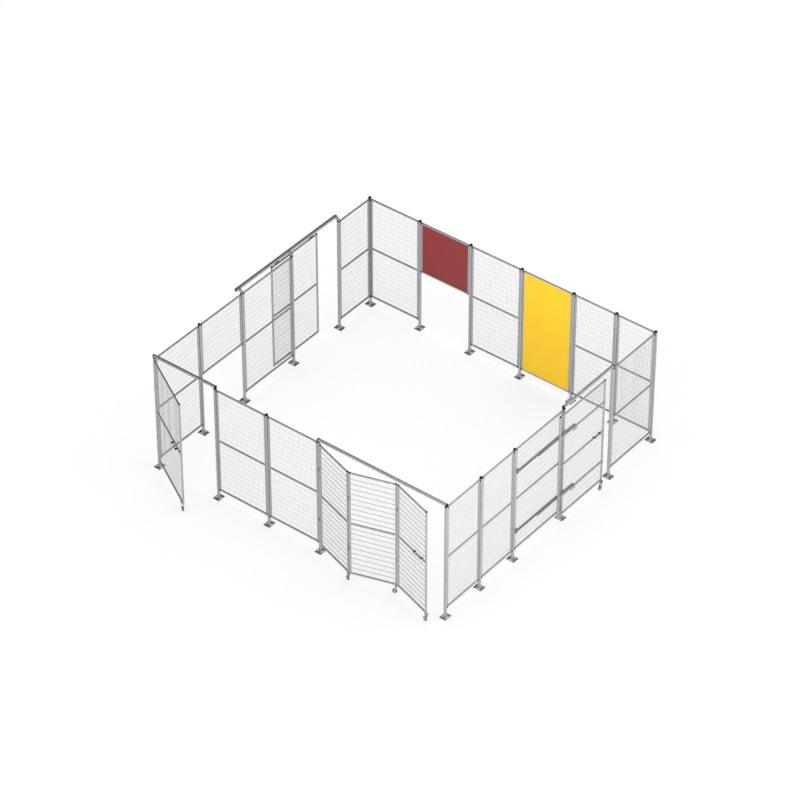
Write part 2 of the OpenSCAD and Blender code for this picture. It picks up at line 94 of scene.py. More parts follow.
class FencePaints(bpy.types.PropertyGroup):
    """Colours of the fence, as linear red, green and blue."""
    grey: FloatVectorProperty(
        name="Grey paint", description="Posts, panel frames, wires and header beams",
        subtype="COLOR", size=3, min=0.0, max=1.0, default=(0.405, 0.405, 0.41))
    plate: FloatVectorProperty(
        name="Foot plates", description="Foot plates under the posts",
        subtype="COLOR", size=3, min=0.0, max=1.0, default=(0.27, 0.27, 0.275))
    zinc: FloatVectorProperty(
        name="Zinc plating", description="Carriages, castor forks and screws",
        subtype="COLOR", size=3, min=0.0, max=1.0, default=(0.38, 0.38, 0.375))
    guide: FloatVectorProperty(
        name="Guide steel", description="Guide rails and the linear door's castor fork",
        subtype="COLOR", size=3, min=0.0, max=1.0, default=(0.22, 0.225, 0.222))
    bright: FloatVectorProperty(
        name="Bright steel", description="Bare steel of the sliding bars",
        subtype="COLOR", size=3, min=0.0, max=1.0, default=(0.60, 0.60, 0.60))
    dark: FloatVectorProperty(
        name="Dark steel", description="Hinges and trolleys",
        subtype="COLOR", size=3, min=0.0, max=1.0, default=(0.13, 0.13, 0.135))
    black: FloatVectorProperty(
        name="Black plastic", description="Caps, clamps and handles",
        subtype="COLOR", size=3, min=0.0, max=1.0, default=(0.004, 0.004, 0.0045))
    tyre: FloatVectorProperty(
        name="Tyres", description="Treads of the castor wheels",
        subtype="COLOR", size=3, min=0.0, max=1.0, default=(0.12, 0.12, 0.12))
    hub: FloatVectorProperty(
        name="Wheel hubs", description="Plastic hubs of the castor wheels",
        subtype="COLOR", size=3, min=0.0, max=1.0, default=(0.30, 0.30, 0.295))
    red: FloatVectorProperty(
        name="Red sheet", description="Half-height sheet of the back side",
        subtype="COLOR", size=3, min=0.0, max=1.0, default=(0.287, 0.043, 0.044))
    yellow: FloatVectorProperty(
        name="Yellow sheet", description="Full-height sheet of the back side",
        subtype="COLOR", size=3, min=0.0, max=1.0, default=(0.98, 0.61, 0.030))


class MeshSizes(bpy.types.PropertyGroup):
    """Sizes of the welded mesh and its frames."""
    wire: FloatProperty(
        name="Upright wire", description="Diameter of the upright mesh wires",
        unit="LENGTH", min=0.002, max=0.005, default=0.003)
    level_wire: FloatProperty(
        name="Level wire", description="Diameter of the level mesh wires",
        unit="LENGTH", min=0.002, max=0.005, default=0.0024)
    twin_wire: FloatProperty(
        name="Twin wire", description="Diameter of the paired level wires of the folding leaves",
        unit="LENGTH", min=0.002, max=0.005, default=0.004)
    across: FloatProperty(
        name="Upright wires apart", description="Distance between upright wires, about",
        unit="LENGTH", min=0.02, max=0.08, default=0.025)
    level: FloatProperty(
        name="Level wires apart", description="Distance between level wires, about",
        unit="LENGTH", min=0.03, max=0.2, default=0.100)
    corner: FloatProperty(
        name="Tube corners", description="Radius of the corners of the square tubes",
        unit="LENGTH", min=0.001, max=0.006, default=0.003)
    guide_low: FloatProperty(
        name="Lower guide", description="Height of the linear leaf's lower rail",
        unit="LENGTH", default=0.55)
    guide_high: FloatProperty(
        name="Upper guide", description="Height of the linear leaf's upper rail",
        unit="LENGTH", default=1.75)


class CastorSizes(bpy.types.PropertyGroup):
    """Sizes of the castor wheels."""
    radius: FloatProperty(
        name="Radius", description="Radius of the tread",
        unit="LENGTH", min=0.03, max=0.05, default=0.040)
    width: FloatProperty(
        name="Width", description="Width of the tyre",
        unit="LENGTH", min=0.015, max=0.03, default=0.020)
    bore: FloatProperty(
        name="Bore", description="Radius of the hole round the axle",
        unit="LENGTH", min=0.005, max=0.01, default=0.0062)
    from_end: FloatProperty(
        name="From the leaf's end", description="Folding leaf's end to its wheel's axle",
        unit="LENGTH", min=0.02, max=0.1, default=0.035)


class FittingSizes(bpy.types.PropertyGroup):
    """Sizes of handles, caps and screws."""
    grip: FloatProperty(
        name="Grip", description="Radius of the grip bars",
        unit="LENGTH", min=0.006, max=0.015, default=0.009)
    standoff: FloatProperty(
        name="Stand-off", description="Leaf face to the middle of the grip bar",
        unit="LENGTH", min=0.03, max=0.07, default=0.045)
    knob: FloatProperty(
        name="Knob", description="Radius of the swing door's knobs",
        unit="LENGTH", min=0.012, max=0.03, default=0.018)
    strap: FloatProperty(
        name="Strap", description="Thickness of the straps that carry a grip",
        unit="LENGTH", min=0.002, max=0.006, default=0.004)
    screw: FloatProperty(
        name="Screw head", description="Radius of the screws' heads",
        unit="LENGTH", min=0.003, max=0.008, default=0.0055)
    flange: FloatProperty(
        name="Flange", description="Thickness of the sliding bars' flanges",
        unit="LENGTH", min=0.004, max=0.01, default=0.007)
    web: FloatProperty(
        name="Web", description="Thickness of the sliding bars' webs",
        unit="LENGTH", min=0.004, max=0.012, default=0.008)
    # The black strip is painted shade along the lower part of the sliding bars' outer flange.
    shade_strip: FloatProperty(
        name="Glide strip", description="The black strip's share of a sliding bar's outer flange",
        subtype="FACTOR", min=0.3, max=0.9, default=0.75)
    nut: FloatProperty(
        name="Axle nut", description="Corner radius of the castors' axle nuts",
        unit="LENGTH", min=0.006, max=0.011, default=0.0085)
    bead: FloatProperty(
        name="Weld bead", description="Width of the weld round a post's foot",
        unit="LENGTH", min=0.002, max=0.006, default=0.004)
    skirt: FloatProperty(
        name="Cap skirt", description="How far a cap reaches over its tube",
        unit="LENGTH", min=0.0, max=0.018, default=0.015)
    cap_edge: FloatProperty(
        name="Cap edge", description="Width of the slope round the top of a cap",
        unit="LENGTH", min=0.001, max=0.006, default=0.0035)


class StageSettings(bpy.types.PropertyGroup):
    """Floor, lamps and camera."""
    floor: FloatProperty(
        name="Floor width", description="Width of the square floor",
        unit="LENGTH", default=160.0)
    sky: FloatProperty(
        name="Horizon strength", description="Strength of the even light from low all round",
        min=0.0, max=5.0, default=1.65)
    side_lamp: FloatProperty(
        name="Side lamp", description="Strength of the low soft lamp on the right",
        min=0.0, default=1.2)
    front_lamp: FloatProperty(
        name="Front lamp", description="Strength of the low soft lamp in front",
        min=0.0, default=1.8)
    right_box: FloatProperty(
        name="Right box", description="Power of the soft box over the right side, in watts",
        min=0.0, default=220.0)
    corner_box: FloatProperty(
        name="Corner box",
        description="Power of the soft box over the front right corner, in watts",
        min=0.0, default=145.0)
    inner_box: FloatProperty(
        name="Inner box", description="Power of the soft box over the middle, in watts",
        min=0.0, default=22.0)
    back_box: FloatProperty(
        name="Back box", description="Power of the soft box high behind, in watts",
        min=0.0, default=30.0)
    box_width: FloatProperty(
        name="Soft box width", description="Width of each soft box",
        unit="LENGTH", default=4.0)
    lens: FloatProperty(
        name="Lens", description="Focal length on a 36 mm sensor",
        subtype="DISTANCE_CAMERA", default=181.6)
    camera_at: FloatVectorProperty(
        name="Camera", description="Where the camera stands",
        subtype="TRANSLATION", unit="LENGTH", size=3, default=(33.370, -36.123, 41.198))
    camera_turn: FloatVectorProperty(
        name="Camera turn", description="How the camera is turned",
        subtype="EULER", unit="ROTATION", size=3,
        default=(math.radians(50.901), 0.0, math.radians(38.287)))


# ---------------------------------------------------------------- arrays of points

def square_ring(width, depth, radius, steps=3):
    """A rounded rectangle: each corner's centre plus radius times (cos a, sin a), with a over
    that corner's quarter of the turn."""
    a = np.linspace(0.0, math.pi / 2, steps + 1)
    turn = np.repeat(np.arange(4) * math.pi / 2, steps + 1) + np.tile(a, 4)
    sign = np.array([[1, 1], [-1, 1], [-1, -1], [1, -1]], float)
    inner = np.array([width / 2 - radius, depth / 2 - radius])
    arcs = radius * np.stack([np.cos(turn), np.sin(turn)], 1)
    return np.repeat(sign * inner, steps + 1, axis=0) + arcs


def round_ring(radius, count):
    """A circle: radius times (cos a, sin a), a in equal steps over the full turn."""
    a = np.arange(count) * 2 * math.pi / count
    return radius * np.stack([np.cos(a), np.sin(a)], 1)


def lofts(rings, closed=False):
    """Skins over rings[n, m, k, 3]: n separate pieces of m rings of k points, quads between
    ring i and i + 1 and point j and j + 1; ends closed by one face each, or ring m joined to 1."""
    n, m, k, _ = rings.shape
    index = np.arange(n * m * k).reshape(n, m, k)
    low, high = (index, np.roll(index, -1, 1)) if closed else (index[:, :-1], index[:, 1:])
    quads = np.stack([low, np.roll(low, -1, 2), np.roll(high, -1, 2), high], -1).reshape(-1, 4)
    faces = quads.tolist()
    if not closed:
        faces += index[:, 0, ::-1].tolist() + index[:, -1].tolist()
    return rings.reshape(-1, 3), faces


def bars(starts, ends, sideways, ring):
    """Straight bars: point = start or end + p * sideways + q * (direction x sideways), for each
    (p, q) on the ring."""
    starts, ends = np.atleast_2d(starts).astype(float), np.atleast_2d(ends).astype(float)
    along = ends - starts
    along /= np.linalg.norm(along, axis=1, keepdims=True)
    side = np.broadcast_to(np.asarray(sideways, float), starts.shape)
    third = np.cross(along, side)
    offset = ring[None, :, 0, None] * side[:, None] + ring[None, :, 1, None] * third[:, None]
    return lofts(np.stack([starts[:, None] + offset, ends[:, None] + offset], 1))


def turned(profile, centres, axis, count, closed=False):
    """Turned pieces: centre + h * axis + r * (cos a * u + sin a * v), for each (h, r) of the
    profile, with u and v square to the axis and to each other."""
    axis = np.asarray(axis, float) / np.linalg.norm(axis)
    u = np.cross(axis, UP) if abs(axis[2]) < 0.9 else RIGHTWARDS
    u = u / np.linalg.norm(u)
    v = np.cross(axis, u)
    a = np.arange(count) * 2 * math.pi / count
    spoke = np.cos(a)[:, None] * u + np.sin(a)[:, None] * v
    profile = np.asarray(profile, float)
    rings = profile[:, 0, None, None] * axis + profile[:, 1, None, None] * spoke
    return lofts(np.atleast_2d(centres)[:, None, None] + rings[None], closed)


def button_head(r):
    """A screw's button head: (height, radius) over its dome and down into its socket."""
    return [(-0.001, r), (0.001, r), (0.0022, 0.85 * r), (0.003, 0.5 * r), (0.0016, 0.42 * r)]


def joined(*parts):
    """One list of points and faces from several, with the faces' numbers moved on."""
    points, faces, count = [], [], 0
    for part_points, part_faces in parts:
        points.append(part_points)
        faces += [[count + i for i in face] for face in part_faces]
        count += len(part_points)
    return np.concatenate(points), faces


def piece(name, shape, material, body, slot, *nodes, sharp=40.0):
    """Makes the object from (points, faces), rides it on its body and hides the nodes it stands for.
    """
    points, faces = shape
    mesh = bpy.data.meshes.new(name)
    mesh.from_pydata(points.tolist(), [], faces)
    mesh.polygons.foreach_set("use_smooth", [True] * len(mesh.polygons))
    mesh.set_sharp_from_angle(angle=math.radians(sharp))
    mesh.materials.append(material)
    made = bpy.data.objects.new(name, mesh)
    bpy.context.scene.collection.objects.link(made)
    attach(made, body)
    if nodes:
        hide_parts(*nodes)
    return made


def leaf_line(node):
    """A flat frame's place from its box: first corner of its centre line, unit direction, unit
    normal, width, lowest and highest z. A slanted frame of width w and thickness t at angle a
    has a box of w cos a + t sin a by w sin a + t cos a, solved for a by repetition."""
    low, high = (np.array(corner, float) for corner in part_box(node))
    size, middle = high - low, (low + high) / 2
    slant = SLANTS.get(node, 0)
    if slant:
        angle = math.atan2(size[1], size[0])
        for _ in range(20):
            run = size[0] - TUBE * math.sin(angle)
            rise = size[1] - TUBE * math.cos(angle)
            angle = math.atan2(rise, run)
        width = math.hypot(run, rise)
        along = np.array([math.cos(angle), slant * math.sin(angle), 0.0])
    elif size[0] > size[1]:
        width, along = size[0], np.array([1.0, 0.0, 0.0])
    else:
        width, along = size[1], np.array([0.0, 1.0, 0.0])
    first = np.array([middle[0], middle[1], 0.0]) - along * width / 2
    return first, along, np.cross(along, UP), width, low[2], high[2]


def middle_of(node):
    """The middle of a node's box."""
    low, high = (np.array(corner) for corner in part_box(node))
    return (low + high) / 2


def castor_axles():
    """Middle and direction of each castor wheel's axle, by the node of the wheels. The folding
    leaves' wheels stand in from the leaves' ends, as high as the swing door's."""
    swing = middle_of("swing_wheel")
    axles = {"swing_wheel": [(swing, leaf_line("swing_leaf")[2])],
             "linear_wheel": [(middle_of("linear_wheel"), RIGHTWARDS)],
             "folding_wheels": []}
    for node in FOLDING_LEAVES:
        first, along, normal, width = leaf_line(node)[:4]
        run = width - bpy.context.scene.castor_sizes.from_end
        axles["folding_wheels"].append((first + run * along + swing[2] * UP, normal))
    return axles


def points_of(node):
    """The corner points of a node of the frame."""
    mesh = frame["nodes"][node].data
    points = np.empty(len(mesh.vertices) * 3)
    mesh.vertices.foreach_get("co", points)
    return points.reshape(-1, 3)


def reach(node, direction):
    """Lowest and highest value of point . direction over a node."""
    along = points_of(node) @ direction
    return along.min(), along.max()


def solids(node):
    """Boxes of a node's separate solids. Points at one place count as one; the lowest number
    is handed along the edges until nothing changes, and points of one number are one solid."""
    points = points_of(node)
    _, same = np.unique(np.round(points, 5), axis=0, return_inverse=True)
    same = same.reshape(-1)
    mesh = frame["nodes"][node].data
    edges = np.empty(len(mesh.edges) * 2, int)
    mesh.edges.foreach_get("vertices", edges)
    edges = same[edges.reshape(-1, 2)]
    label = np.arange(same.max() + 1)
    while True:
        low = label[edges].min(1)
        new = label.copy()
        np.minimum.at(new, edges[:, 0], low)
        np.minimum.at(new, edges[:, 1], low)
        if (new == label).all():
            break
        label = new[new]
    label = label[same]
    return [(points[label == k].min(0), points[label == k].max(0)) for k in np.unique(label)]


# ---------------------------------------------------------------- finishes

def finish(name, paint, metallic, roughness, grain, bump, mottle=0.03, gloss=0.5):
    """A coating of the named paint: fine grain in its bump and roughness, and a slow drift of its
    colour."""
    material = bpy.data.materials.get(name)
    if material:
        return material
    material = bpy.data.materials.new(name)
    material.use_nodes = True
    nodes, links = material.node_tree.nodes, material.node_tree.links
    shader = nodes["Principled BSDF"]
    place = nodes.new("ShaderNodeTexCoord")

    def noise(scale, detail):
        made = nodes.new("ShaderNodeTexNoise")
        made.inputs["Scale"].default_value = scale
        made.inputs["Detail"].default_value = detail
        links.new(place.outputs["Object"], made.inputs["Vector"])
        return made.outputs["Fac"]

    def spread(source, low, high):
        made = nodes.new("ShaderNodeMapRange")
        made.inputs["From Min"].default_value = 0.3
        made.inputs["From Max"].default_value = 0.7
        made.inputs["To Min"].default_value = low
        made.inputs["To Max"].default_value = high
        links.new(source, made.inputs["Value"])
        return made.outputs["Result"]

    drift = nodes.new("ShaderNodeMix")
    drift.data_type = "RGBA"
    drift.blend_type = "MULTIPLY"
    drift.inputs["Factor"].default_value = 1.0
    drift.inputs["A"].default_value = (*getattr(bpy.context.scene.fence_paints, paint), 1.0)
    links.new(spread(noise(1.7, 3.0), 1.0 - mottle, 1.0 + mottle), drift.inputs["B"])
    links.new(drift.outputs["Result"], shader.inputs["Base Color"])
    grains = noise(grain, 2.0)
    links.new(spread(grains, roughness - 0.05, roughness + 0.05), shader.inputs["Roughness"])
    peel = nodes.new("ShaderNodeBump")
    peel.inputs["Strength"].default_value = bump
    peel.inputs["Distance"].default_value = 0.0004
    links.new(grains, peel.inputs["Height"])
    links.new(peel.outputs["Normal"], shader.inputs["Normal"])
    shader.inputs["Metallic"].default_value = metallic
    shader.inputs["Specular IOR Level"].default_value = gloss
    return material


def grey_paint():
    """Grey powder coat with a slight metal flake."""
    return finish("silver_grey_powder_coat", "grey", metallic=0.35, roughness=0.42, grain=700,
                  bump=0.12)


def zinc_plating():
    """Dull zinc plating with a fine spangle."""
    return finish("zinc_plating", "zinc", metallic=0.5, roughness=0.4, grain=350, bump=0.1,
                  mottle=0.08)


def plate_paint():
    """The same coat, thinner and darker, on thick plate."""
    return finish("plate_powder_coat", "plate", metallic=0.35, roughness=0.5, grain=500,
                  bump=0.15, mottle=0.05)


def guide_steel():
    """Rolled steel with a thin dull plating."""
    return finish("guide_steel", "guide", metallic=0.4, roughness=0.45, grain=450, bump=0.12,
                  mottle=0.07)


def bright_steel():
    """Bare drawn steel, polished by the channels it runs in."""
    return finish("bright_steel", "bright", metallic=0.6, roughness=0.35, grain=450, bump=0.08,
                  mottle=0.05)


def dark_steel():
    """Blackened steel with a dull sheen."""
    return finish("blackened_steel", "dark", metallic=0.6, roughness=0.45, grain=900, bump=0.1,
                  mottle=0.06)


def black_plastic():
    """Moulded black plastic with a fine spark-eroded grain."""
    return finish("black_moulding", "black", metallic=0.0, roughness=0.5, grain=1500, bump=0.25,
                  mottle=0.1, gloss=0.18)


def tyre_rubber():
    """Hard grey-black rubber."""
    return finish("tyre_rubber", "tyre", metallic=0.0, roughness=0.7, grain=1200, bump=0.3,
                  mottle=0.1)


def hub_plastic():
    """Pale moulded wheel hub."""
    return finish("hub_plastic", "hub", metallic=0.0, roughness=0.45, grain=1200, bump=0.15)


def red_paint():
    """Deep red powder coat."""
    return finish("red_powder_coat", "red", metallic=0.0, roughness=0.5, grain=600, bump=0.15,
                  mottle=0.02, gloss=0.2)


def yellow_paint():
    """Warm yellow powder coat."""
    return finish("yellow_powder_coat", "yellow", metallic=0.0, roughness=0.42, grain=600,
                  bump=0.15, mottle=0.02, gloss=0.2)


# ---------------------------------------------------------------- the fence

class FENCE_OT_paint(bpy.types.Operator):
    """Gives each solid of the frame its finish"""
    bl_idname = "fence.paint"
    bl_label = "Paint the solids"

    def execute(self, context):
        """Each solid takes the finish of its slot, but for the foot plates, the guide rails and
        the linear door's castor fork, which have their own."""
        finishes = {"grey_paint": grey_paint(), "dark_steel": dark_steel(),
                    "zinc_steel": zinc_plating(), "black_plastic": black_plastic(),
                    "black_rubber": tyre_rubber(), "red_paint": red_paint(),
                    "yellow_paint": yellow_paint()}
        slots = {part["node"]: part["material_slot"] for part in frame["record"]["subparts"]}
        for node, solid in frame["nodes"].items():
            made = finishes[slots[node]]
            if node.startswith("foot_plates"):
                made = plate_paint()
            elif node in ("guide_rails", "linear_castor_fork"):
                made = guide_steel()
            solid.data.materials.clear()
            solid.data.materials.append(made)
        return {"FINISHED"}


def mesh_panel(node, rails, wires=True):
    """A panel: stiles, rails and upright wires in the tubes' middle, and the level wires welded
    across their back, or across both their faces on a folding leaf, all evenly spaced. A level
    wire's middle is a little under the two wires' radii away, so that the wires meet."""
    sizes = bpy.context.scene.mesh_sizes
    first, along, normal, width, low, high = leaf_line(node)
    half = TUBE / 2
    into, touching = 0.002, 0.46

    def at(run, z, off=0.0):
        run, z = np.broadcast_arrays(np.asarray(run, float), np.asarray(z, float))
        return first + run[..., None] * along + z[..., None] * UP + off * normal

    ring = square_ring(TUBE, TUBE, sizes.corner)
    stile_runs = np.array([half, width - half])
    rail_heights = np.array([low + half, *rails, high - half])
    parts = [bars(at(stile_runs, low), at(stile_runs, high), along, ring),
             bars(at(TUBE - into, rail_heights), at(width - TUBE + into, rail_heights), UP, ring)]
    if wires:
        inner_w, inner_h = width - 2 * TUBE, high - low - 2 * TUBE
        across = round(inner_w / sizes.across)
        level = round(inner_h / sizes.level)
        runs = TUBE + inner_w * np.arange(1, across) / across
        heights = low + TUBE + inner_h * np.arange(1, level) / level
        parts.append(bars(at(runs, low + half), at(runs, high - half), along,
                          round_ring(sizes.wire / 2, 6)))
        twins = node in FOLDING_LEAVES
        thick = sizes.twin_wire if twins else sizes.level_wire
        for way in (-1, 1) if twins else (-1,):
            off = way * (sizes.wire + thick) * touching
            parts.append(bars(at(half, heights, off), at(width - half, heights, off), UP,
                              round_ring(thick / 2, 6)))
    return joined(*parts)


class FENCE_OT_panels(bpy.types.Operator):
    """Makes the welded mesh panels and the frames of the two sheets"""
    bl_idname = "fence.panels"
    bl_label = "Mesh panels"

    def execute(self, context):
        """A full panel has a rail at half height; the half panel and the sheets' frames have
        none."""
        for node in FULL_PANELS:
            piece(node + "_mesh", mesh_panel(node, [middle_of(node)[2]]), grey_paint(), "fence",
                  "grey_paint", node)
        piece("left_half_panel_mesh", mesh_panel("left_half_panel", []), grey_paint(),
              "fence", "grey_paint", "left_half_panel")
        for node in ("red_sheet_frame", "yellow_sheet_frame"):
            piece(node + "_tubes", mesh_panel(node, [], wires=False), grey_paint(),
                  "fence", "grey_paint", node)
        return {"FINISHED"}


class FENCE_OT_leaves(bpy.types.Operator):
    """Makes the welded mesh leaves of the four doors"""
    bl_idname = "fence.leaves"
    bl_label = "Door leaves"

    def execute(self, context):
        """A leaf has a rail at half height, and the linear leaf has two more at its guides."""
        sizes = context.scene.mesh_sizes
        for node in LEAVES:
            rails = [middle_of(node)[2]]
            if node == "linear_leaf":
                rails = [sizes.guide_low, *rails, sizes.guide_high]
            piece(node + "_mesh", mesh_panel(node, rails), grey_paint(), BODY_OF[node],
                  "grey_paint", node)
        return {"FINISHED"}


def tube_run(low, high, axis, ring):
    """A tube that fills a box, its ring swept along one axis of the box."""
    middle = (low + high) / 2
    starts, ends = middle.copy(), middle.copy()
    starts[axis], ends[axis] = low[axis], high[axis]
    sideways = np.eye(3)[(axis + 1) % 3]
    return bars(starts, ends, sideways, ring)


class FENCE_OT_tubes(bpy.types.Operator):
    """Makes the posts and the header beams with rounded corners"""
    bl_idname = "fence.tubes"
    bl_label = "Posts and headers"

    def execute(self, context):
        """A post runs along z and a header along its longest side, each as wide as its solid."""
        rounder = 1.6
        corner = context.scene.mesh_sizes.corner * rounder
        for node in (*POSTS, "door_headers"):
            parts = []
            for low, high in solids(node):
                axis = int(np.argmax(high - low))
                width = (high - low)[(axis + 1) % 3]
                depth = (high - low)[(axis + 2) % 3]
                parts.append(tube_run(low, high, axis, square_ring(width, depth, corner, 4)))
            piece(node + "_tubes", joined(*parts), grey_paint(), "fence", "grey_paint", node)
        return {"FINISHED"}


class FENCE_OT_caps(bpy.types.Operator):
    """Makes the black caps of the posts and of the header beams"""
    bl_idname = "fence.caps"
    bl_label = "Caps"

    def execute(self, context):
        """A cap's rings follow its rounded outline, from its skirt round the tube to the sloping
        edge, where they draw in. It faces up, or away from the middle of its header beam."""
        edge, skirt = context.scene.fitting_sizes.cap_edge, context.scene.fitting_sizes.skirt
        proud = 0.0008
        beams = [(low + high) / 2 for low, high in solids("door_headers")]
        for node in ("post_caps", "header_end_caps"):
            rings = []
            for low, high in solids(node):
                middle = (low + high) / 2
                outward = UP
                if node == "header_end_caps":
                    away = middle - min(beams, key=lambda beam: np.abs(beam - middle).sum())
                    outward = np.where(np.abs(away) == np.abs(away).max(), np.sign(away), 0.0)
                axis = int(np.argmax(np.abs(outward)))
                half = (high - low)[axis] / 2
                side = np.eye(3)[(axis + 1) % 3]
                third = np.cross(outward, side)
                size = [abs((high - low) @ side), abs((high - low) @ third)]
                steps = [(-half - skirt, -proud), (half - edge, -proud),
                         (half - edge * 0.3, edge * 0.3), (half, edge)]
                outlines = [square_ring(size[0] - 2 * inset, size[1] - 2 * inset, edge * 1.4, 3)
                            for _, inset in steps]
                rings.append([middle + height * outward + ring[:, :1] * side + ring[:, 1:] * third
                              for (height, _), ring in zip(steps, outlines)])
            piece(node + "_moulded", lofts(np.array(rings)), black_plastic(), "fence",
                  "black_plastic", node)
        return {"FINISHED"}


class FENCE_OT_screws(bpy.types.Operator):
    """Adds the screws of the panel clamps"""
    bl_idname = "fence.screws"
    bl_label = "Clamp screws"

    def execute(self, context):
        """A button head on each end of a clamp, along its longer side in the plan."""
        head = button_head(context.scene.fitting_sizes.screw)
        parts = []
        for low, high in solids("panel_clamps"):
            middle = (low + high) / 2
            axis = int(np.argmax((high - low)[:2]))
            for way in (-1.0, 1.0):
                face = middle.copy()
                face[axis] += way * (high - low)[axis] / 2
                parts.append(turned(head, face, np.eye(3)[axis] * way, 12))
        piece("clamp_screws", joined(*parts), zinc_plating(), "fence", "zinc_steel", sharp=30)
        return {"FINISHED"}


class FENCE_OT_fixings(bpy.types.Operator):
    """Adds weld beads, header screws, carriage screws, axle nuts and rail end plugs"""
    bl_idname = "fence.fixings"
    bl_label = "Welds, screws and nuts"

    def execute(self, context):
        """Small parts that hold the others together, each set one piece for its body."""
        sizes = context.scene.fitting_sizes
        self.welds(sizes.bead)
        self.heads(sizes.screw)
        self.nuts(sizes.nut)
        self.rail_plugs()
        return {"FINISHED"}

    @staticmethod
    def welds(bead):
        """A bead runs round each post's foot: the post's outline, wider by the bead at the plate
        and drawn in to the post one bead higher."""
        corner = 0.004
        steps = [(-0.0005, bead), (bead * 0.4, bead * 0.75), (bead, 0.0003)]
        rings = []
        for node in POSTS:
            for low, high in solids(node):
                middle, size = (low + high) / 2, high - low
                ring = []
                for height, out in steps:
                    outline = square_ring(size[0] + 2 * out, size[1] + 2 * out, corner + out, 3)
                    flat = np.full((len(outline), 1), low[2] + height)
                    ring.append(np.hstack([outline + middle[:2], flat]))
                rings.append(ring)
        piece("foot_welds", lofts(np.array(rings)), grey_paint(), "fence", "grey_paint", sharp=60)

    @staticmethod
    def heads(r):
        """Button heads on both sides of the header beams near their ends, and one in each corner
        of the linear door's clamp plates and buffers, which are its thin solids."""
        head = button_head(r)
        from_end, inset, thin = 0.030, 0.012, 0.006
        parts = []
        for low, high in solids("door_headers"):
            long = int(np.argmax(high - low))
            across = 1 - long
            for end in (low[long] + from_end, high[long] - from_end):
                for way, face in ((-1.0, low[across]), (1.0, high[across])):
                    at = (low + high) / 2
                    at[long], at[across] = end, face
                    parts.append(turned(head, at, np.eye(3)[across] * way, 12))
        piece("header_screws", joined(*parts), zinc_plating(), "fence", "zinc_steel", sharp=30)
        spots = []
        for low, high in solids("linear_carriages"):
            if high[0] - low[0] < thin:
                spots += [(high[0], y, z) for y in (low[1] + inset, high[1] - inset)
                          for z in (low[2] + inset, high[2] - inset)]
        piece("carriage_screws", turned(head, np.array(spots), RIGHTWARDS, 12), zinc_plating(),
              BODY_OF["linear_carriages"], "zinc_steel", sharp=30)

    @staticmethod
    def nuts(r):
        """A hexagon nut with a bolt end in it on both ends of each castor's axle, just outside
        the fork's legs."""
        nut = [(-0.001, r), (0.003, r), (0.0042, 0.8 * r), (0.0042, 0.5 * r), (0.0058, 0.5 * r),
               (0.0064, 0.4 * r)]
        gap_and_leg = 0.007
        legs = bpy.context.scene.castor_sizes.width / 2 + gap_and_leg
        forks = ("swing_castor_fork", "linear_castor_fork", "folding_castor_forks")
        for fork, spots in zip(forks, castor_axles().values()):
            parts = [turned(nut, centre + way * legs * axis, way * axis, 6)
                     for centre, axis in spots for way in (-1.0, 1.0)]
            piece(fork + "_nuts", joined(*parts), zinc_plating(), BODY_OF[fork], "zinc_steel",
                  sharp=20)

    @staticmethod
    def rail_plugs():
        """A black plug in each end of the overhead rail: the rail's outline with soft edges."""
        low, high = (np.array(corner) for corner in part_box("overhead_rail"))
        middle, size = (low + high) / 2, high - low
        corner = 0.004
        steps = [(-0.012, 0.0015), (0.0025, 0.0015), (0.004, 0.003)]
        rings = []
        for end, way in ((low[1], -1.0), (high[1], 1.0)):
            ring = []
            for out, inset in steps:
                outline = square_ring(size[0] - 2 * inset, size[2] - 2 * inset, corner, 3)
                outline = outline if way < 0 else outline[::-1]
                ring.append([(middle[0] + x, end + way * out, middle[2] + z) for x, z in outline])
            rings.append(ring)
        piece("rail_end_plugs", lofts(np.array(rings)), black_plastic(), "fence", "black_plastic")


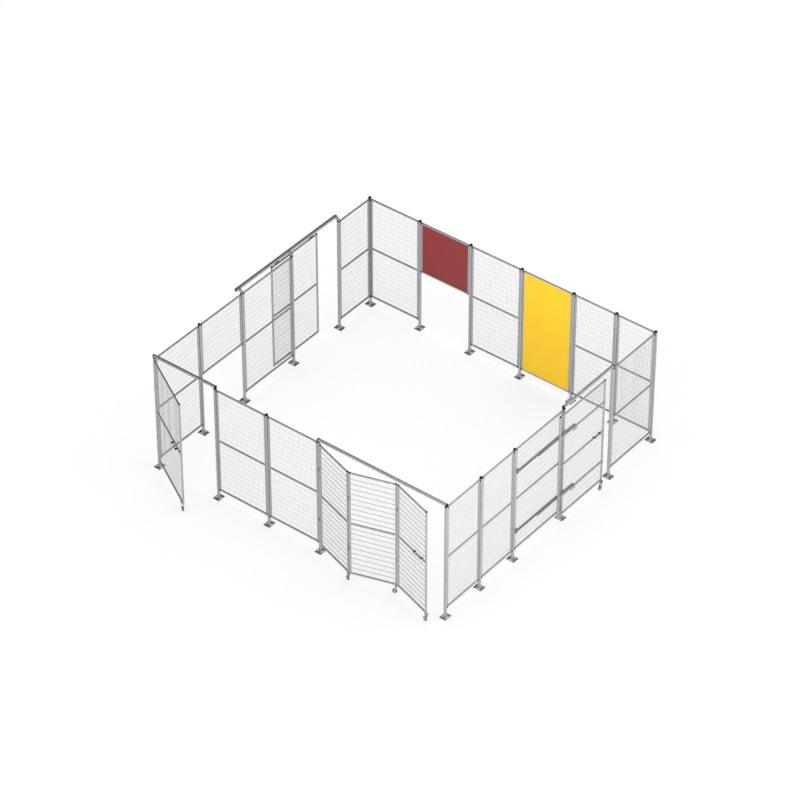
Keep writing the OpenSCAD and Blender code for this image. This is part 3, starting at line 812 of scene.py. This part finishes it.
class FENCE_OT_handles(bpy.types.Operator):
    """Makes the grips of the swing, linear and folding doors"""
    bl_idname = "fence.handles"
    bl_label = "Handles"

    def execute(self, context):
        """Each grip is a steel bar with rounded ends in two black stubs, which stand on straps
        with rounded edges; the swing door's stubs end in balls."""
        sizes = context.scene.fitting_sizes
        r, out = sizes.grip, sizes.standoff
        stub, point, open_end = 1.5 * r, 0.0008, 0.04
        for node, leaf in (("swing_handle", "swing_leaf"), ("linear_handle", "linear_leaf"),
                           ("folding_handle", "folding_leaf_3")):
            first, along, normal = leaf_line(leaf)[:3]
            ball = sizes.knob if node == "swing_handle" else 0.0
            begin, end = reach(node, along)
            foot, top = reach(node, UP)
            height = top - max(stub, ball)
            face = first + TUBE / 2 * normal
            middle = face + ((begin + end) / 2 - first @ along) * along + height * UP
            half = (end - begin) / 2
            span = half - 2 * r
            a = np.linspace(0.0, math.pi / 2, 5)
            nose = np.stack([half - r + r * np.sin(a), np.maximum(r * np.cos(a), point)], 1)
            bar = np.concatenate([nose[::-1] * [-1, 1], nose])
            steel = [turned(bar, middle + out * normal, along, 20)]
            flare = [(sizes.strap - 0.0005, 1.0), (0.008, 1.0), (0.012, 0.8), (out - r, 0.76),
                     (out + r - 0.002, 0.7), (out + r, 0.5)]
            posts = np.array([middle - span * along, middle + span * along])
            moulded = [turned([(h, share * stub) for h, share in flare], posts, normal, 20)]
            strap = square_ring(2 * stub, sizes.strap, sizes.strap * 0.4, 3)
            centre = posts + sizes.strap / 2 * normal
            steel.append(bars(centre + (foot - height) * UP, centre + stub * UP, along, strap))
            if ball:
                a = np.linspace(open_end, math.pi - open_end, 13)
                knob = np.stack([-ball * np.cos(a), ball * np.sin(a)], 1)
                moulded.append(turned(knob, posts + out * normal, normal, 24))
            piece(node + "_stubs", joined(*moulded), black_plastic(), BODY_OF[node],
                  "black_plastic", node, sharp=50)
            piece(node + "_bar", joined(*steel), grey_paint(), BODY_OF[node], "grey_paint",
                  sharp=50)
        return {"FINISHED"}


class FENCE_OT_guides(bpy.types.Operator):
    """Makes the sliding bars of the linear door's guides"""
    bl_idname = "fence.guides"
    bl_label = "Sliding bars"

    def execute(self, context):
        """A bar is an I section of rounded strips: two flanges and a web between them. The lower
        part of the outer flange is a black strip of painted shade."""
        sizes = context.scene.fitting_sizes
        web, into, edge = sizes.web, 0.001, 0.0008
        steel, shade_strip = [], []
        for low, high in solids("telescope_bars"):
            middle = (low[2] + high[2]) / 2
            # Below the split, the outer flange is painted shade in the black moulding.
            split = low[2] + sizes.shade_strip * (high[2] - low[2])
            inner, outer = low[0] + sizes.flange, high[0] - sizes.flange
            blocks = [(steel, (low[0], low[2]), (inner, high[2])),
                      (steel, (outer, split), (high[0], high[2])),
                      (steel, (inner - into, middle - web / 2), (outer + into, middle + web / 2)),
                      (shade_strip, (outer, low[2]), (high[0], split))]
            for kind, (x0, z0), (x1, z1) in blocks:
                kind.append(tube_run(np.array([x0, low[1], z0]), np.array([x1, high[1], z1]), 1,
                                     square_ring(z1 - z0, x1 - x0, edge, 2)))
        body = BODY_OF["telescope_bars"]
        # Painted shade: the black strip under each sliding bar.
        piece("telescope_bars_shade_strip", joined(*shade_strip), black_plastic(), body, "black_plastic",
              "telescope_bars")
        piece("telescope_bars_steel", joined(*steel), bright_steel(), body, "zinc_steel")
        return {"FINISHED"}


class FENCE_OT_plugs(bpy.types.Operator):
    """Closes the tube ends of the door leaves with black plugs"""
    bl_idname = "fence.plugs"
    bl_label = "Tube end plugs"

    def execute(self, context):
        """A plug is the tube's outline, drawn in a little at its edge, just over the tube's end."""
        outline = square_ring(TUBE, TUBE, context.scene.mesh_sizes.corner)
        steps = [(-0.010, 1.04), (0.0, 1.06), (0.006, 1.06), (0.008, 0.92)]
        for node in LEAVES:
            first, along, normal, width, _, high = leaf_line(node)
            flat = outline[:, :1] * along + outline[:, 1:] * -normal
            rings = []
            for run in (TUBE / 2, width - TUBE / 2):
                centre = first + run * along + high * UP
                rings.append([centre + h * UP + scale * flat for h, scale in steps])
            piece(node + "_plugs", lofts(np.array(rings)), black_plastic(), BODY_OF[node],
                  "black_plastic")
        return {"FINISHED"}


class FENCE_OT_wheels(bpy.types.Operator):
    """Makes the castor wheels, each a rubber tyre on a pale hub"""
    bl_idname = "fence.wheels"
    bl_label = "Castor wheels"

    def execute(self, context):
        """Tyre and hub are closed outlines of (along the axle, out from it), turned round the
        axle."""
        sizes = context.scene.castor_sizes
        r, w = sizes.radius, sizes.width / 2
        hub = r * 0.66
        tyre = [(-w, hub), (-w, r - 0.004), (-w + 0.001, r - 0.0015), (-w + 0.004, r),
                (w - 0.004, r), (w - 0.001, r - 0.0015), (w, r - 0.004), (w, hub)]
        core = [(-w, sizes.bore), (-w, 0.013), (-w + 0.004, 0.014), (-w + 0.004, hub - 0.003),
                (-w + 0.0002, hub), (w - 0.0002, hub), (w - 0.004, hub - 0.003), (w - 0.004, 0.014),
                (w, 0.013), (w, sizes.bore)]
        for node, places in castor_axles().items():
            for kind, outline, material, slot in (("tyre", tyre, tyre_rubber(), "black_rubber"),
                                                  ("hub", core, hub_plastic(), "grey_paint")):
                shape = joined(*[turned(outline, centre, axis, 32, closed=True)
                                 for centre, axis in places])
                replaced = (node,) if kind == "tyre" else ()
                piece(node + "_" + kind, shape, material, BODY_OF[node], slot, *replaced, sharp=30)
        return {"FINISHED"}


# ---------------------------------------------------------------- stage

class FENCE_OT_stage(bpy.types.Operator):
    """Sets the pale floor, the soft lamps and the camera"""
    bl_idname = "fence.stage"
    bl_label = "Stage"

    def execute(self, context):
        """The floor is white to the camera and keeps the soft shadows, with painted shade in its
        glow near the fence.
        """
        settings = context.scene.stage_settings
        half = settings.floor / 2
        middle = (np.array(CAD_BOX[0]) + np.array(CAD_BOX[1])) / 2
        signs = np.array([[-1, -1], [1, -1], [1, 1], [-1, 1]])
        corners = half * signs + middle[:2]
        mesh = bpy.data.meshes.new("floor")
        mesh.from_pydata([(x, y, 0.0) for x, y in corners], [], [(0, 1, 2, 3)])
        mesh.materials.append(self.floor_material())
        floor = bpy.data.objects.new("floor", mesh)
        context.scene.collection.objects.link(floor)
        self.light(context, settings, middle)
        self.camera(context, settings)
        context.scene.view_settings.view_transform = "Standard"
        return {"FINISHED"}

    @staticmethod
    def floor_material():
        """To the camera and to gloss, a faint share of plain white cloth over a white glow, which
        dims by up to a third where what stands near covers the sky; this dimming is painted shade
        round the fence."""
        material = bpy.data.materials.new("pale_floor")
        material.use_nodes = True
        nodes, links = material.node_tree.nodes, material.node_tree.links
        nodes.clear()
        out = nodes.new("ShaderNodeOutputMaterial")
        plain = nodes.new("ShaderNodeBsdfDiffuse")
        plain.inputs["Color"].default_value = (0.72, 0.72, 0.72, 1.0)
        faint = nodes.new("ShaderNodeBsdfDiffuse")
        faint.inputs["Color"].default_value = (0.05, 0.05, 0.05, 1.0)
        glow = nodes.new("ShaderNodeEmission")
        # Painted shade: the glow is dimmed wherever ambient occlusion finds the fence close by.
        near = nodes.new("ShaderNodeAmbientOcclusion")
        near.inputs["Distance"].default_value = 3.5
        painted_shade = nodes.new("ShaderNodeMapRange")
        painted_shade.inputs["To Min"].default_value = 0.66
        painted_shade.inputs["To Max"].default_value = 0.995
        links.new(near.outputs["AO"], painted_shade.inputs["Value"])
        links.new(painted_shade.outputs["Result"], glow.inputs["Strength"])
        both = nodes.new("ShaderNodeAddShader")
        links.new(faint.outputs[0], both.inputs[0])
        links.new(glow.outputs[0], both.inputs[1])
        path = nodes.new("ShaderNodeLightPath")
        seen = nodes.new("ShaderNodeMath")
        seen.operation = "MAXIMUM"
        links.new(path.outputs["Is Camera Ray"], seen.inputs[0])
        links.new(path.outputs["Is Glossy Ray"], seen.inputs[1])
        mix = nodes.new("ShaderNodeMixShader")
        links.new(seen.outputs[0], mix.inputs["Fac"])
        links.new(plain.outputs[0], mix.inputs[1])
        links.new(both.outputs[0], mix.inputs[2])
        links.new(mix.outputs[0], out.inputs["Surface"])
        return material

    @staticmethod
    def light(context, settings, middle):
        """Light from low all round, two low suns, two soft boxes over the right side, one over the
        middle and a faint one high behind. The sky fades from full strength near the horizon to
        none a third of the way up."""
        world = bpy.data.worlds.new("studio_sky")
        world.use_nodes = True
        nodes, links = world.node_tree.nodes, world.node_tree.links
        place = nodes.new("ShaderNodeTexCoord")
        split = nodes.new("ShaderNodeSeparateXYZ")
        fade = nodes.new("ShaderNodeMapRange")
        for socket, value in (("From Min", 0.05), ("From Max", 0.35), ("To Min", settings.sky),
                              ("To Max", 0.0)):
            fade.inputs[socket].default_value = value
        links.new(place.outputs["Generated"], split.inputs["Vector"])
        links.new(split.outputs["Z"], fade.inputs["Value"])
        links.new(fade.outputs["Result"], nodes["Background"].inputs["Strength"])
        nodes["Background"].inputs["Color"].default_value = (1.0, 1.0, 1.0, 1.0)
        context.scene.world = world
        tilt, spread = math.radians(84.0), math.radians(35.0)
        for name, power, azimuth in (("side_lamp", settings.side_lamp, 90.0),
                                     ("front_lamp", settings.front_lamp, 0.0)):
            lamp = bpy.data.lights.new(name, "SUN")
            lamp.energy = power
            lamp.angle = spread
            made = bpy.data.objects.new(name, lamp)
            made.rotation_euler = (tilt, 0.0, math.radians(azimuth))
            context.scene.collection.objects.link(made)
        for name, power, stands, towards in (
                ("right_box", settings.right_box, (3.8, 0.0, 5.5), (-1.0, 0.0, 1.2)),
                ("corner_box", settings.corner_box, (2.3, -4.6, 5.0), (-1.3, -1.7, 1.5)),
                ("inner_box", settings.inner_box, (-2.6, -0.4, 4.6), (-5.4, 2.4, 1.0)),
                ("back_box", settings.back_box, (-4.3, 3.3, 8.5), (-0.1, -1.7, 2.0))):
            lamp = bpy.data.lights.new(name, "AREA")
            lamp.shape = "DISK"
            lamp.size = settings.box_width
            lamp.energy = power
            made = bpy.data.objects.new(name, lamp)
            right = Vector((CAD_BOX[1][0], middle[1], 0.0))
            made.location = right + Vector(stands)
            looks = Vector(towards) - Vector(stands)
            made.rotation_euler = looks.to_track_quat("-Z", "Y").to_euler()
            context.scene.collection.objects.link(made)

    @staticmethod
    def camera(context, settings):
        """A long lens from the right, in front and above."""
        lens = bpy.data.cameras.new("camera")
        lens.sensor_width = 36.0
        lens.lens = settings.lens
        lens.clip_end = 400.0
        made = bpy.data.objects.new("camera", lens)
        made.location = settings.camera_at
        made.rotation_euler = settings.camera_turn
        context.scene.collection.objects.link(made)
        context.scene.camera = made


# ---------------------------------------------------------------- panel and registration

STEPS = [FENCE_OT_stage, FENCE_OT_paint, FENCE_OT_tubes, FENCE_OT_caps, FENCE_OT_panels,
         FENCE_OT_screws, FENCE_OT_leaves, FENCE_OT_guides, FENCE_OT_plugs, FENCE_OT_fixings,
         FENCE_OT_handles, FENCE_OT_wheels]


class FENCE_PT_sidebar(bpy.types.Panel):
    """Lists the steps and sizes of the fence"""
    bl_label = "Guard fence"
    bl_space_type = "VIEW_3D"
    bl_region_type = "UI"
    bl_category = "Guard fence"

    def draw(self, context):
        """One button a step, then the sizes and colours."""
        for step in STEPS:
            self.layout.operator(step.bl_idname)
        for group in GROUPS:
            for key in GROUPS[group].__annotations__:
                self.layout.prop(getattr(context.scene, group), key)


GROUPS = {"fence_paints": FencePaints, "mesh_sizes": MeshSizes, "castor_sizes": CastorSizes,
          "fitting_sizes": FittingSizes, "stage_settings": StageSettings}


def register():
    """Registers the groups, the steps and the panel."""
    for name, group in GROUPS.items():
        bpy.utils.register_class(group)
        setattr(bpy.types.Scene, name, PointerProperty(type=group))
    for step in (*STEPS, FENCE_PT_sidebar):
        bpy.utils.register_class(step)


def unregister():
    """Takes them away again."""
    for step in reversed((*STEPS, FENCE_PT_sidebar)):
        bpy.utils.unregister_class(step)
    for name, group in GROUPS.items():
        delattr(bpy.types.Scene, name)
        bpy.utils.unregister_class(group)


def main():
    """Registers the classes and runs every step."""
    register()
    for step in STEPS:
        getattr(bpy.ops.fence, step.bl_idname.split(".")[1])()


if __name__ == "__main__":
    main()
